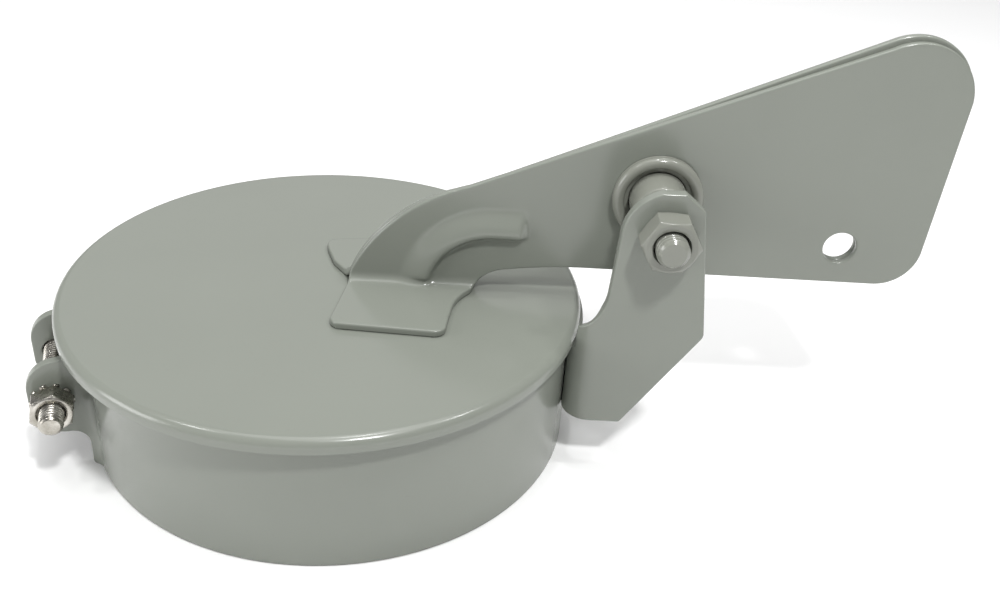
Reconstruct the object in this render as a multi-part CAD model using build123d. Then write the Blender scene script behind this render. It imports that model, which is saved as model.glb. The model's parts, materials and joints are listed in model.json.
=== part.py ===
from build123d import *
import math
import os

# Weather cap for a vertical exhaust stack: a clamp band, a hinged lid and a twin-plate counterweight arm.
# Row frame: origin on the band's axis at its lower edge, +Z up, the pivot and the arm towards +X.
# "right" is the -Y side and "left" the +Y side. All sizes are in millimetres.

# Clamp band, rolled from strip and split where its two lugs stand out
pipe_radius = 63.5
band_sheet = 2.5
band_height = 37.2
split_angle = 197.9
lug_half_gap = 10.5
lug_bend_radius = 3.0
lug_reach = 79.4
lug_height = 22.0
lug_middle_z = 22.5
lug_nose_radius = 8.0
lug_root_gap = 0.6
lug_fillet_radius = 4.5
lug_upper_slope = 3.0
lug_bolt_reach = 73.8
lug_bolt_z = 21.8
lug_hole_clearance = 0.3

# Lid, a shallow pressed disc with a short turned-down lip
lid_radius = 70.0
lid_sheet = 3.0
lid_lip_depth = 0.8
lid_lip_sheet = 1.6
lid_edge_radius = 2.3
lid_centre_x = -2.0
lid_underside_z = 38.0
lid_top_z = lid_underside_z + lid_sheet

# Pivot
pivot_x = 84.6
pivot_z = 72.3
bolt_radius = 4.0
bushing_bore_clearance = 0.08
bushing_radius = 7.5
bushing_right_y = -19.1
bushing_left_y = 5.6
bushing_end_radius = 1.2
bushing_step_y = -13.0
bushing_step_radius = 6.3
pivot_washer_sheet = 1.2
pivot_washer_radius = 8.0
pivot_washer_gap = 0.2
hub_tube_radius = 1.5
hub_outer_radius = 11.8
hub_base_sheet = 1.2
fit_gap = 0.1

# Bracket, a web rolled to the band with one ear that carries the pivot bolt
bracket_sheet = 3.0
ear_inner_y = -20.5
ear_outer_y = ear_inner_y - bracket_sheet
ear_hole_clearance = 0.2
bracket_bend_radius = 4.0
bracket_low_z = 15.3
web_top_z = 36.5
web_end_angle = 20.0
web_throat_z = 43.4
bracket_lid_clearance = 0.5

# Metric fasteners: across flats, nut height, head height
pivot_hex = 13.0
pivot_nut_height = 6.7
pivot_head_height = 5.3
pivot_nut_turn = -1.0
pivot_bolt_end_y = -33.6
pivot_bolt_chamfer = 1.0
clamp_thread_radius = 3.0
clamp_hex = 10.0
clamp_nut_height = 5.2
clamp_head_height = 4.0
clamp_bolt_end_y = 24.0
clamp_bolt_chamfer = 0.8
clamp_head_turn = 10.0
clamp_nut_turn = 20.0
hex_face_share = 0.95
hex_ease_slope = 0.577
lock_washer_sheet = 0.8
lock_washer_radius = 5.4
lock_washer_teeth = 10
lock_washer_tooth_width = 1.6

# Arm plates: two stampings, back to back, each with a foot turned out on the lid
arm_sheet = 2.0
foot_bend_radius = 2.0
foot_front_x = 4.8
foot_back_x = 38.0
foot_corner_radius = 3.0
foot_bend_z = lid_top_z + arm_sheet + foot_bend_radius
bead_height = 2.5
bead_half_width = 4.3
bead_arc_radius = 21.0
bead_centre_x = 43.0
bead_centre_z = 41.0
bead_end_x = 52.0
bead_overlap = 0.5
lifting_hole_radius = 4.4
lifting_hole_x = 135.2
lifting_hole_z = 60.5

# Length of the tools that cut through holes and outlines, clear of every part
cut_reach = 60.0


def ring_sector(centre, inner, outer, start, end):
    """Flat piece of a ring in the XY plane, between two angles in degrees."""
    rim = CenterArc(centre, outer, start, end - start)
    back = CenterArc(centre, inner, start, end - start)
    return make_face([rim, Line(rim @ 1, back @ 1), back, Line(back @ 0, rim @ 0)])


def rectangle(low_x, high_x, low_y, high_y):
    """Axis-aligned rectangle in the XY plane."""
    middle = ((low_x + high_x) / 2, (low_y + high_y) / 2)
    return Pos(*middle, 0) * Rectangle(high_x - low_x, high_y - low_y)


def side_plate(outline, low_y, high_y):
    """Prism of an XZ outline, drawn in the XY plane, between two Y values."""
    prism = extrude(Plane.XZ * outline, high_y - low_y)
    return Pos(0, high_y, 0) * prism


def y_cylinder(x, z, radius, low_y, high_y):
    """Cylinder along Y between two Y values."""
    middle = Pos(x, (low_y + high_y) / 2, z)
    return middle * Rot(90, 0, 0) * Cylinder(radius, high_y - low_y)


def hex_prism(x, z, across_flats, low_y, high_y, turn=0.0):
    """Hexagon along Y with its corners eased by a turned chamfer."""
    corner_radius = across_flats / math.sqrt(3)
    ease = corner_radius - hex_face_share * across_flats / 2
    blank = extrude(RegularPolygon(corner_radius, 6, rotation=turn), high_y - low_y)
    blank = Pos(x, high_y, z) * Rot(90, 0, 0) * blank
    turned = y_cylinder(x, z, corner_radius, low_y, high_y)
    rims = turned.edges().filter_by(GeomType.CIRCLE)
    return blank & chamfer(rims, length=ease * hex_ease_slope, length2=ease)


def chamfered_pin(x, z, radius, low_y, high_y, chamfered_y, size):
    """Cylinder along Y with one end chamfered."""
    pin = y_cylinder(x, z, radius, low_y, high_y)
    rims = pin.edges().filter_by(GeomType.CIRCLE)
    end_rim = rims.sort_by_distance((x, chamfered_y, z))[0]
    return chamfer(end_rim, size)


def clamp_band():
    """Band with two lugs, drawn with its split at +X and turned to its place at the end."""
    middle_radius = pipe_radius + band_sheet / 2
    bend_middle = lug_bend_radius + band_sheet / 2
    lug_middle_y = lug_half_gap + band_sheet / 2
    bend_y = lug_middle_y + bend_middle
    bend_reach = middle_radius + bend_middle
    bend_angle = math.degrees(math.asin(bend_y / bend_reach))
    bend_x = bend_reach * math.cos(math.radians(bend_angle))
    strip = ring_sector((0, 0), pipe_radius, pipe_radius + band_sheet, bend_angle, 360 - bend_angle)
    for side in (1, -1):
        inner = lug_bend_radius
        outer = lug_bend_radius + band_sheet
        angles = sorted((side * (180 + bend_angle), side * 270))
        strip += ring_sector((bend_x, side * bend_y), inner, outer, *angles)
        near, far = sorted((side * lug_half_gap, side * (lug_half_gap + band_sheet)))
        strip += rectangle(bend_x, lug_reach, near, far)
    band = extrude(strip, band_height)
    band -= side_plate(lug_trim(), -2 * bend_y, 2 * bend_y)
    hole_radius = clamp_thread_radius + lug_hole_clearance
    band -= y_cylinder(lug_bolt_reach, lug_bolt_z, hole_radius, -2 * bend_y, 2 * bend_y)
    return Rot(0, 0, split_angle) * band


def lug_trim():
    """What is cut from the full-height strip to leave the rounded lugs, in XZ."""
    root_x = pipe_radius + band_sheet + lug_root_gap
    fillet = lug_fillet_radius
    shoulder_x = root_x + fillet
    bow = fillet * (1 - math.sqrt(0.5))
    low = lug_middle_z - lug_height / 2
    high = lug_middle_z + lug_height / 2
    nose_x = lug_reach - lug_nose_radius
    clear_x = lug_reach + fillet
    clear_z = band_height + fillet
    lower = Line((root_x, -fillet), (root_x, low - fillet))
    lower_fillet = ThreePointArc((root_x, low - fillet), (root_x + bow, low - bow), (shoulder_x, low))
    lower_edge = Line((shoulder_x, low), (nose_x, low))
    lower_nose = RadiusArc((nose_x, low), (lug_reach, low + lug_nose_radius), -lug_nose_radius)
    tip = Line((lug_reach, low + lug_nose_radius), (lug_reach, high - lug_nose_radius))
    upper_nose = RadiusArc((lug_reach, high - lug_nose_radius), (nose_x, high), -lug_nose_radius)
    upper_edge = Line((nose_x, high), (shoulder_x, high))
    upper = Polyline((shoulder_x, high), (root_x, high + lug_upper_slope), (root_x, clear_z))
    close = Polyline((root_x, clear_z), (clear_x, clear_z), (clear_x, -fillet), (root_x, -fillet))
    return make_face([lower, lower_fillet, lower_edge, lower_nose, tip, upper_nose, upper_edge, upper, close])


def clamp_fastener():
    """Bolt, lock washer and nut through the lugs, in the band's drawn position."""
    lug_outer = lug_half_gap + band_sheet
    x, z, radius = lug_bolt_reach, lug_bolt_z, clamp_thread_radius
    bolt = chamfered_pin(x, z, radius, -lug_outer, clamp_bolt_end_y, clamp_bolt_end_y, clamp_bolt_chamfer)
    bolt += hex_prism(x, z, clamp_hex, -lug_outer - clamp_head_height, -lug_outer, clamp_head_turn)
    washer_end = lug_outer + lock_washer_sheet
    washer = y_cylinder(x, z, 0.85 * lock_washer_radius, lug_outer, washer_end)
    tooth = Pos(0.8 * lock_washer_radius, 0, 0) * Box(
        0.4 * lock_washer_radius, lock_washer_tooth_width, lock_washer_sheet
    )
    washer_middle = Pos(x, (lug_outer + washer_end) / 2, z) * Rot(90, 0, 0)
    for index in range(lock_washer_teeth):
        washer += washer_middle * Rot(0, 0, 360 * index / lock_washer_teeth) * tooth
    washer -= y_cylinder(x, z, radius + fit_gap, 0, cut_reach)
    nut = hex_prism(x, z, clamp_hex, washer_end, washer_end + clamp_nut_height, clamp_nut_turn)
    nut -= y_cylinder(x, z, radius + fit_gap, 0, cut_reach)
    turn = Rot(0, 0, split_angle)
    return turn * bolt, turn * washer, turn * nut


def ear_outline():
    """Side outline of the bracket in XZ: slanted foot, tapered ear and rounded top round the pivot."""
    web_side_x = 59.0
    toe = (79.4, bracket_low_z)
    heel = (97.9, 43.7)
    shoulder = (92.8, 79.0)
    top_right = (87.6, 83.3)
    top_left = (82.0, 83.2)
    neck = (73.1, 71.5)
    throat_top = (72.2, 55.0)
    throat_end = (66.0, web_throat_z)
    edge = Polyline((web_side_x, bracket_low_z), toe, heel, shoulder, top_right, top_left)
    crown = ThreePointArc(top_left, (76.0, 79.4), neck)
    front = Line(neck, throat_top)
    throat = ThreePointArc(throat_top, (70.6, 48.6), throat_end)
    close = Polyline(throat_end, (web_side_x, web_throat_z), (web_side_x, bracket_low_z))
    return make_face([edge, crown, front, throat, close])


def pivot_bracket():
    """Web rolled to the band, one bend and one ear, cut to the side outline."""
    web_inner = pipe_radius + band_sheet
    web_outer = web_inner + bracket_sheet
    inner = bracket_bend_radius
    outer = bracket_bend_radius + bracket_sheet
    bend_reach = web_inner + outer
    bend_y = ear_inner_y + inner
    bend_angle = math.degrees(math.asin(bend_y / bend_reach))
    bend_x = bend_reach * math.cos(math.radians(bend_angle))
    web = extrude(ring_sector((0, 0), web_inner, web_outer, bend_angle, web_end_angle), web_top_z)
    turned = ring_sector((bend_x, bend_y), inner, outer, 180 + bend_angle, 270)
    turned += rectangle(bend_x, bend_x + cut_reach, ear_outer_y, ear_inner_y)
    swing_radius = lid_radius + bracket_lid_clearance
    lid_swing = Cylinder(swing_radius, cut_reach, align=(Align.CENTER, Align.CENTER, Align.MIN))
    bracket = web + (extrude(turned, 2 * cut_reach) - Pos(lid_centre_x, 0, web_top_z) * lid_swing)
    bracket &= side_plate(ear_outline(), -cut_reach, cut_reach)
    return bracket - y_cylinder(pivot_x, pivot_z, bolt_radius + ear_hole_clearance, -cut_reach, cut_reach)


def pivot_fastener():
    """Through bolt with its head beyond the arm on the left, and its nut on the ear."""
    head_y = bushing_left_y + pivot_washer_gap + pivot_washer_sheet
    end_y = pivot_bolt_end_y
    bolt = chamfered_pin(pivot_x, pivot_z, bolt_radius, end_y, head_y, end_y, pivot_bolt_chamfer)
    bolt += hex_prism(pivot_x, pivot_z, pivot_hex, head_y, head_y + pivot_head_height)
    nut_end_y = ear_outer_y - pivot_nut_height
    nut = hex_prism(pivot_x, pivot_z, pivot_hex, nut_end_y, ear_outer_y, pivot_nut_turn)
    nut -= y_cylinder(pivot_x, pivot_z, bolt_radius + fit_gap, -cut_reach, 0)
    return bolt, nut


def pivot_washer(low_y):
    """Flat washer at one end of the bushing."""
    high_y = low_y + pivot_washer_sheet
    washer = y_cylinder(pivot_x, pivot_z, pivot_washer_radius, low_y, high_y)
    return washer - y_cylinder(pivot_x, pivot_z, bolt_radius + fit_gap, -cut_reach, cut_reach)


def pivot_bushing():
    """Stepped tube through both plates that turns on the bolt, with eased ends."""
    tube = y_cylinder(pivot_x, pivot_z, bushing_radius, bushing_step_y, bushing_left_y)
    tube = fillet(tube.edges().filter_by(GeomType.CIRCLE), bushing_end_radius)
    tube += y_cylinder(pivot_x, pivot_z, bushing_step_radius, bushing_right_y, bushing_step_y)
    return tube - y_cylinder(pivot_x, pivot_z, bolt_radius + bushing_bore_clearance, -cut_reach, cut_reach)


def hub_ring(side):
    """Rolled ring that stiffens the plate round the bushing: a thin base and a round rim."""
    rim_radius = hub_outer_radius - hub_tube_radius
    bore = bushing_radius + fit_gap
    rim = Pos(rim_radius, hub_tube_radius, 0) * Circle(hub_tube_radius)
    section = rim + rectangle(bore, rim_radius, 0, hub_base_sheet)
    ring = revolve(section, Axis.Y)
    ring = Pos(pivot_x, arm_sheet, pivot_z) * ring
    return ring if side > 0 else mirror(ring, Plane.XZ)


def lid_disc():
    """Pressed disc: flat top, rounded rim and a short lip outside the band."""
    lip_inner = lid_radius - lid_lip_sheet
    lip_low = lid_underside_z - lid_lip_depth
    rim_start = (lid_radius, lid_top_z - lid_edge_radius)
    rim_end = (lid_radius - lid_edge_radius, lid_top_z)
    below = Polyline(
        (0, lid_top_z), (0, lid_underside_z), (lip_inner, lid_underside_z),
        (lip_inner, lip_low), (lid_radius, lip_low), rim_start,
    )
    rim = RadiusArc(rim_start, rim_end, -lid_edge_radius)
    section = make_face([below, rim, Line(rim_end, (0, lid_top_z))])
    disc = revolve(Rot(90, 0, 0) * section, Axis.Z)
    return Pos(lid_centre_x, 0, 0) * disc


def arm_outline(nape, heel, corner):
    """Upright plate of the arm in XZ, above the foot bend."""
    toe = (foot_front_x, foot_bend_z)
    ankle = (foot_back_x, foot_bend_z)
    tail = (159.0, 102.5)
    tail_low = (157.4, 61.0)
    keel = (146.5, 50.0)
    knee = (69.0, 50.0)
    shin = (46.5, 48.2)
    hollow = (foot_back_x + 2.0, foot_bend_z)
    front = ThreePointArc(toe, (17.2, 61.9), nape)
    top = Line(nape, heel)
    upper_corner = ThreePointArc(heel, corner, tail)
    rear = Line(tail, tail_low)
    lower_corner = ThreePointArc(tail_low, (154.2, 53.2), keel)
    bottom = Line(keel, knee)
    calf = ThreePointArc(knee, (57.0, 49.5), shin)
    instep = ThreePointArc(shin, (42.7, 47.0), hollow)
    fold = Polyline(hollow, ankle, toe)
    return make_face([front, top, upper_corner, rear, lower_corner, bottom, calf, instep, fold])


def foot_outline(front_points):
    """Foot flange in XY on the -Y side, with rounded outer corners."""
    fold_y = -(arm_sheet + foot_bend_radius)
    ankle = (foot_back_x, fold_y)
    toe = (foot_front_x, fold_y)
    outer_back = (31.6, -26.2)
    front = Spline(toe, *front_points)
    side = Line(front_points[-1], outer_back)
    back = Spline(outer_back, (32.4, -17.9), (33.1, -12.9), (34.9, -7.6), ankle)
    face = make_face([Line(ankle, toe), front, side, back])
    outer_corners = [v for v in face.vertices() if v.Y < 4 * fold_y]
    return fillet(outer_corners, foot_corner_radius)


def bead():
    """Half-round rib that rises from the fold and turns along the plate, with a domed end."""
    radius = (bead_half_width**2 + bead_height**2) / (2 * bead_height)
    axis_y = radius - bead_height - arm_sheet
    crest_z = bead_centre_z + bead_arc_radius
    diagonal = bead_arc_radius * math.sqrt(0.5)
    start = (bead_centre_x - bead_arc_radius, axis_y, bead_centre_z)
    middle = (bead_centre_x - diagonal, axis_y, bead_centre_z + diagonal)
    crest = (bead_centre_x, axis_y, crest_z)
    end = (bead_end_x - bead_half_width, axis_y, crest_z)
    rise = ThreePointArc(start, middle, crest)
    bar = sweep(Plane(rise @ 0, z_dir=rise % 0) * Circle(radius), rise)
    bar += Pos(*crest) * Rot(0, 90, 0) * Cylinder(
        radius, end[0] - crest[0], align=(Align.CENTER, Align.CENTER, Align.MIN)
    )
    bar += Pos(*end) * Sphere(radius)
    low_y = -arm_sheet - 2 * bead_height
    high_y = -arm_sheet + bead_overlap
    low_z = lid_top_z + arm_sheet / 2
    keep = Box(cut_reach, high_y - low_y, cut_reach, align=(Align.CENTER, Align.MIN, Align.MIN))
    return bar & Pos(bead_centre_x, low_y, low_z) * keep


def arm_plate(side, outline, foot):
    """One stamping: upright plate, foot bend, foot flange, stiffening bead and two holes."""
    plate = side_plate(outline, -arm_sheet, 0)
    fold_y = -(arm_sheet + foot_bend_radius)
    bend = ring_sector((fold_y, foot_bend_z), foot_bend_radius, foot_bend_radius + arm_sheet, 270, 360)
    plate += Pos(foot_front_x, 0, 0) * extrude(Plane.YZ * bend, foot_back_x - foot_front_x)
    plate += Pos(0, 0, lid_top_z) * extrude(foot, arm_sheet)
    plate += bead()
    plate -= y_cylinder(pivot_x, pivot_z, bushing_radius + fit_gap, -cut_reach, cut_reach)
    plate -= y_cylinder(lifting_hole_x, lifting_hole_z, lifting_hole_radius, -cut_reach, cut_reach)
    return plate if side < 0 else mirror(plate, Plane.XZ)


def main():
    os.makedirs("parts", exist_ok=True)
    clamp_bolt, clamp_lock_washer, clamp_nut = clamp_fastener()
    pivot_bolt, pivot_nut = pivot_fastener()
    arm_right = arm_outline((36.0, 72.2), (136.2, 114.8), (152.2, 114.2))
    arm_left = arm_outline((36.0, 71.0), (136.2, 116.3), (152.6, 114.9))
    foot_right = foot_outline([(3.3, -13.0), (1.8, -24.4)])
    foot_left = foot_outline([(1.0, -5.4), (-0.8, -8.0), (-3.0, -14.0), (-4.8, -20.0)])
    nodes = {
        "clamp_band": clamp_band(),
        "pivot_bracket": pivot_bracket(),
        "clamp_bolt": clamp_bolt,
        "clamp_lock_washer": clamp_lock_washer,
        "clamp_nut": clamp_nut,
        "pivot_bolt": pivot_bolt,
        "pivot_nut": pivot_nut,
        "pivot_washer_right": pivot_washer(ear_inner_y),
        "pivot_washer_left": pivot_washer(bushing_left_y + pivot_washer_gap),
        "pivot_bushing": pivot_bushing(),
        "hub_ring_right": hub_ring(-1),
        "hub_ring_left": hub_ring(1),
        "lid_disc": lid_disc(),
        "arm_plate_right": arm_plate(-1, arm_right, foot_right),
        "arm_plate_left": arm_plate(1, arm_left, foot_left),
    }
    for name, solid in nodes.items():
        export_step(solid, f"parts/{name}.step")


main()
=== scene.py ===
import json
import math

import bmesh
import bpy
import numpy as np
from mathutils import Matrix, Vector
from mathutils.geometry import delaunay_2d_cdt


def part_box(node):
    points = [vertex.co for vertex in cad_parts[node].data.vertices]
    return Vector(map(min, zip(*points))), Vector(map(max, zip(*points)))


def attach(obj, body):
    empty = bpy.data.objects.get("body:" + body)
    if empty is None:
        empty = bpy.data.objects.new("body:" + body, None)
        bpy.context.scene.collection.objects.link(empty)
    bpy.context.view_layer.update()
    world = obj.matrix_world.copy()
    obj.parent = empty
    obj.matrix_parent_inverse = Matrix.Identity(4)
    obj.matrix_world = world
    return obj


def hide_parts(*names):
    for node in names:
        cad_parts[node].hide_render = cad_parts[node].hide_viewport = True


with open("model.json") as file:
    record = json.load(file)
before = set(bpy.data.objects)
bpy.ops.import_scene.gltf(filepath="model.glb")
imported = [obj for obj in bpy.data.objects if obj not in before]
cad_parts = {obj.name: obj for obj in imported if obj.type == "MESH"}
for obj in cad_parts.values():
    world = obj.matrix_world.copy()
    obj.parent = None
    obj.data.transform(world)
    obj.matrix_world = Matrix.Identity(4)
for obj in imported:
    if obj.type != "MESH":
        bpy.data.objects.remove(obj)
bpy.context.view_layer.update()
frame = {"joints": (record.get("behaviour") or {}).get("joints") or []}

# Lengths below are in millimetres in the row frame, and become metres when a mesh is made.
MM = 0.001
TURN = 2 * math.pi


# ---------------------------------------------------------------- measures taken from the frame

def node_box(node):
    low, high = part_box(node)
    return low / MM, high / MM


PIVOT = Vector(frame["joints"][0]["pos_m"]) / MM
LID_LOW, LID_HIGH = node_box("lid_disc")
LID_X = (LID_LOW.x + LID_HIGH.x) / 2
LID_RADIUS = (LID_HIGH.x - LID_LOW.x) / 2
LID_TOP = LID_HIGH.z
BAND_HIGH = node_box("clamp_band")[1]
BAND_TOP = BAND_HIGH.z
BAND_RADIUS = BAND_HIGH.x

# Sheet sizes that the solids were made with
BAND_SHEET = 2.5
ARM_SHEET = 2.0
BRACKET_SHEET = 3.0
SPLIT_ANGLE = math.radians(197.9)

# Share of a radius by which the middle of a quarter arc lies inside its corner
ARC_LEAN = 0.293


# ---------------------------------------------------------------- outlines

def arc_through(start, middle, end, step=0.9):
    """Points along the arc from start through middle to end, without the start."""
    (ax, ay), (bx, by), (cx, cy) = start, middle, end
    d = 2 * (ax * (by - cy) + bx * (cy - ay) + cx * (ay - by))
    ux = ((ax**2 + ay**2) * (by - cy) + (bx**2 + by**2) * (cy - ay) + (cx**2 + cy**2) * (ay - by)) / d
    uy = ((ax**2 + ay**2) * (cx - bx) + (bx**2 + by**2) * (ax - cx) + (cx**2 + cy**2) * (bx - ax)) / d
    radius = math.hypot(ax - ux, ay - uy)
    first = math.atan2(ay - uy, ax - ux)
    half = (math.atan2(by - uy, bx - ux) - first) % TURN
    sweep = (math.atan2(cy - uy, cx - ux) - first) % TURN
    if half > sweep:
        sweep -= TURN
    count = max(4, math.ceil(abs(sweep) * radius / step))
    return [
        (ux + radius * math.cos(first + sweep * i / count), uy + radius * math.sin(first + sweep * i / count))
        for i in range(1, count + 1)
    ]


def line_to(start, end, step=1.2):
    count = max(1, math.ceil(math.dist(start, end) / step))
    return [
        (start[0] + (end[0] - start[0]) * i / count, start[1] + (end[1] - start[1]) * i / count)
        for i in range(1, count + 1)
    ]


def trace(start, moves):
    """Closed outline. A move is a point, a corner (x, y, radius) or an arc ((middle), (end))."""
    points = [start]
    for index, move in enumerate(moves):
        if isinstance(move[0], tuple):
            points += arc_through(points[-1], *move)
        elif len(move) == 3:
            corner, radius = Vector(move[:2]), move[2]
            following = moves[index + 1] if index + 1 < len(moves) else start
            if isinstance(following[0], tuple):
                following = following[0]
            before = (Vector(points[-1]) - corner).normalized()
            after = (Vector(following[:2]) - corner).normalized()
            half = before.angle(after) / 2
            middle_way = (before + after).normalized()
            first = corner + before * radius / math.tan(half)
            last = corner + after * radius / math.tan(half)
            nearest = corner + middle_way * (radius / math.sin(half) - radius)
            points += line_to(points[-1], tuple(first))
            points += arc_through(tuple(first), tuple(nearest), tuple(last), 0.6)
        else:
            points += line_to(points[-1], move)
    points += line_to(points[-1], start)
    return np.array(points[:-1])


def signed_area(loop):
    x, y = loop[:, 0], loop[:, 1]
    return 0.5 * float(np.sum(x * np.roll(y, -1) - np.roll(x, -1) * y))


def circle_loop(x, y, radius, count=48):
    angles = -np.arange(count) * TURN / count
    return np.stack([x + radius * np.cos(angles), y + radius * np.sin(angles)], -1)


def left_normals(loop):
    ahead = np.roll(loop, -1, 0) - loop
    ahead /= np.linalg.norm(ahead, axis=1, keepdims=True)
    tangent = ahead + np.roll(ahead, 1, 0)
    tangent /= np.linalg.norm(tangent, axis=1, keepdims=True)
    return np.stack([-tangent[:, 1], tangent[:, 0]], -1)


def inside(points, loop):
    x, y = points[:, 0][:, None], points[:, 1][:, None]
    ax, ay = loop[:, 0][None], loop[:, 1][None]
    bx, by = np.roll(loop[:, 0], -1)[None], np.roll(loop[:, 1], -1)[None]
    crosses = (ay > y) != (by > y)
    at = ax + (y - ay) * (bx - ax) / np.where(by == ay, 1e-9, by - ay)
    return (np.sum(crosses & (x < at), axis=1) % 2) == 1


def fill_loops(loops, spacing):
    """Triangulates the space inside the first loop and outside the others, with an even field of points."""
    border = np.concatenate(loops)
    low, high = loops[0].min(0), loops[0].max(0)
    rows = []
    row_height = 0.866 * spacing
    for row, y in enumerate(np.arange(low[1] + 0.5 * spacing, high[1], row_height)):
        x = np.arange(low[0] + (0.25 + 0.5 * (row % 2)) * spacing, high[0], spacing)
        rows.append(np.stack([x, np.full_like(x, y)], -1))
    field = np.concatenate(rows)
    keep = inside(field, loops[0])
    for loop in loops[1:]:
        keep &= ~inside(field, loop)
    field = field[keep]
    gap = np.concatenate([
        np.min(np.linalg.norm(part[:, None] - border[None], axis=2), axis=1)
        for part in np.array_split(field, max(1, len(field) // 1500))
    ])
    field = field[gap > 0.6 * spacing]
    points = np.concatenate([border, field])
    edges, offset = [], 0
    for loop in loops:
        edges += [(offset + i, offset + (i + 1) % len(loop)) for i in range(len(loop))]
        offset += len(loop)
    made = delaunay_2d_cdt([Vector(p) for p in points.tolist()], edges, [], 0, 1e-6)
    source = [ids[0] for ids in made[3]]
    triangles = np.array([[source[i] for i in face] for face in made[2]])
    middle = points[triangles].mean(1)
    keep = inside(middle, loops[0])
    for loop in loops[1:]:
        keep &= ~inside(middle, loop)
    return points, triangles[keep]


# ---------------------------------------------------------------- meshes

def add_piece(name, vertices, faces, body, node, slot, material):
    """One visible piece, in place of its CAD node. Vertices are in millimetres in the row frame."""
    mesh = bpy.data.meshes.new(name)
    mesh.from_pydata([Vector(v) * MM for v in vertices], [], faces)
    work = bmesh.new()
    work.from_mesh(mesh)
    bmesh.ops.remove_doubles(work, verts=work.verts, dist=1e-7)
    bmesh.ops.recalc_face_normals(work, faces=work.faces)
    work.to_mesh(mesh)
    work.free()
    mesh.polygons.foreach_set("use_smooth", [True] * len(mesh.polygons))
    piece = bpy.data.objects.new(name, mesh)
    bpy.context.scene.collection.objects.link(piece)
    mesh.materials.append(material)
    normals = piece.modifiers.new("even_normals", "WEIGHTED_NORMAL")
    normals.mode = "FACE_AREA"
    normals.weight = 80
    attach(piece, body)
    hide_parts(node)


def sheet_piece(name, outline, holes, thickness, place, spacing, edge, lift=None, **facts):
    """A bent sheet: a flat outline with eased edges, carried into place by place(u, v, depth)."""
    if signed_area(outline) < 0:
        outline = outline[::-1]
    loops = [outline] + [circle_loop(*hole) for hole in holes]
    normals = [left_normals(loop) for loop in loops]
    inner = [loop + edge * normal for loop, normal in zip(loops, normals)]
    points, triangles = fill_loops(inner, spacing)
    turns = (math.pi / 8, math.pi / 4, 3 * math.pi / 8)
    ease = [(edge * (1 - math.sin(a)), edge * (1 - math.cos(a))) for a in turns]
    stations = ease + [(0, edge), (0, thickness / 2), (0, thickness - edge)]
    stations += [(inset, thickness - depth) for inset, depth in reversed(ease)]
    height = lift if lift else (lambda u, v: 0.0)
    vertices = [place(u, v, -height(u, v)) for u, v in points]
    vertices += [place(u, v, thickness) for u, v in points]
    count = len(points)
    faces = [tuple(t) for t in triangles.tolist()]
    faces += [(c + count, b + count, a + count) for a, b, c in triangles.tolist()]
    offset = 0
    for loop, normal in zip(loops, normals):
        size = len(loop)
        rings = [list(range(offset, offset + size))]
        for inset, depth in stations:
            start = len(vertices)
            vertices += [place(u, v, depth) for u, v in loop + inset * normal]
            rings.append(list(range(start, start + size)))
        rings.append([i + count for i in range(offset, offset + size)])
        for upper, lower in zip(rings, rings[1:]):
            for i in range(size):
                j = (i + 1) % size
                faces.append((upper[i], lower[i], lower[j], upper[j]))
        offset += size
    add_piece(name, vertices, faces, **facts)


def lathe(stations, segments, closed=False):
    """Skin through rings. A station is a function of the angle giving (radius, height), or a plain pair."""
    vertices, rings = [], []
    for station in stations:
        start = len(vertices)
        for i in range(segments):
            angle = TURN * i / segments
            radius, height = station(angle) if callable(station) else station
            vertices.append((radius * math.cos(angle), radius * math.sin(angle), height))
        rings.append(range(start, start + segments))
    faces = []
    pairs = list(zip(rings, rings[1:]))
    if closed:
        pairs.append((rings[-1], rings[0]))
    for lower, upper in pairs:
        for i in range(segments):
            j = (i + 1) % segments
            faces.append((lower[i], lower[j], upper[j], upper[i]))
    if not closed:
        faces.append(tuple(reversed(rings[0])))
        faces.append(tuple(rings[-1]))
    return vertices, faces


def placed(vertices, matrix):
    return [matrix @ Vector(v) for v in vertices]


def along_y(x, y, z, sign):
    """Turns a part drawn along +Z so that it points along +Y or -Y from the given point."""
    return Matrix.Translation((x, y, z)) @ Matrix.Rotation(-sign * math.pi / 2, 4, "X")


def rounded_section(corners, segments=5):
    """Polyline in (radius, height) with each corner (r, h, rounding) eased. Ends are kept."""
    points = []
    for index, (r, h, rounding) in enumerate(corners):
        here = Vector((r, h))
        if rounding == 0:
            points.append((r, h))
            continue
        before = Vector(corners[index - 1][:2]) - here
        after = Vector(corners[(index + 1) % len(corners)][:2]) - here
        half = before.angle(after) / 2
        reach = rounding / math.tan(half)
        first = here + before.normalized() * reach
        last = here + after.normalized() * reach
        centre = here + (before.normalized() + after.normalized()).normalized() * rounding / math.sin(half)
        a, b = first - centre, last - centre
        for i in range(segments + 1):
            t = i / segments
            direction = (a * (1 - t) + b * t).normalized()
            points.append(tuple(centre + direction * rounding))
    return points


# ---------------------------------------------------------------- materials

# Texture scales are waves per metre, and depths are in metres.
PAINT_CLOUD, PAINT_GLOSS, PAINT_SPECKS, PAINT_PEEL, PAINT_WAVE = 30.0, 420.0, 1500.0, 780.0, 60.0
PAINT_DARKER, PAINT_PALER, SPECK_TONE = 0.985, 1.012, 0.72
# The second strength is for the paler convex edges, which are partly rubbed paint and partly a painted
# highlight.
SPECK_STRENGTH, EDGE_WEAR_AND_HIGHLIGHT_STRENGTH = 0.16, 0.45
PEEL_DEPTH, WAVE_DEPTH, PAINT_BUMP = 0.00002, 0.0002, 0.05
ZINC_CLOUD, ZINC_GLOSS, ZINC_GRAIN = 260.0, 900.0, 2400.0
GRAIN_DEPTH, GRAIN_BUMP = 0.00003, 0.5


def node_in(nodes, kind, **sockets):
    made = nodes.new(kind)
    for name, value in sockets.items():
        made.inputs[name.replace("_", " ")].default_value = value
    return made


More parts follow.
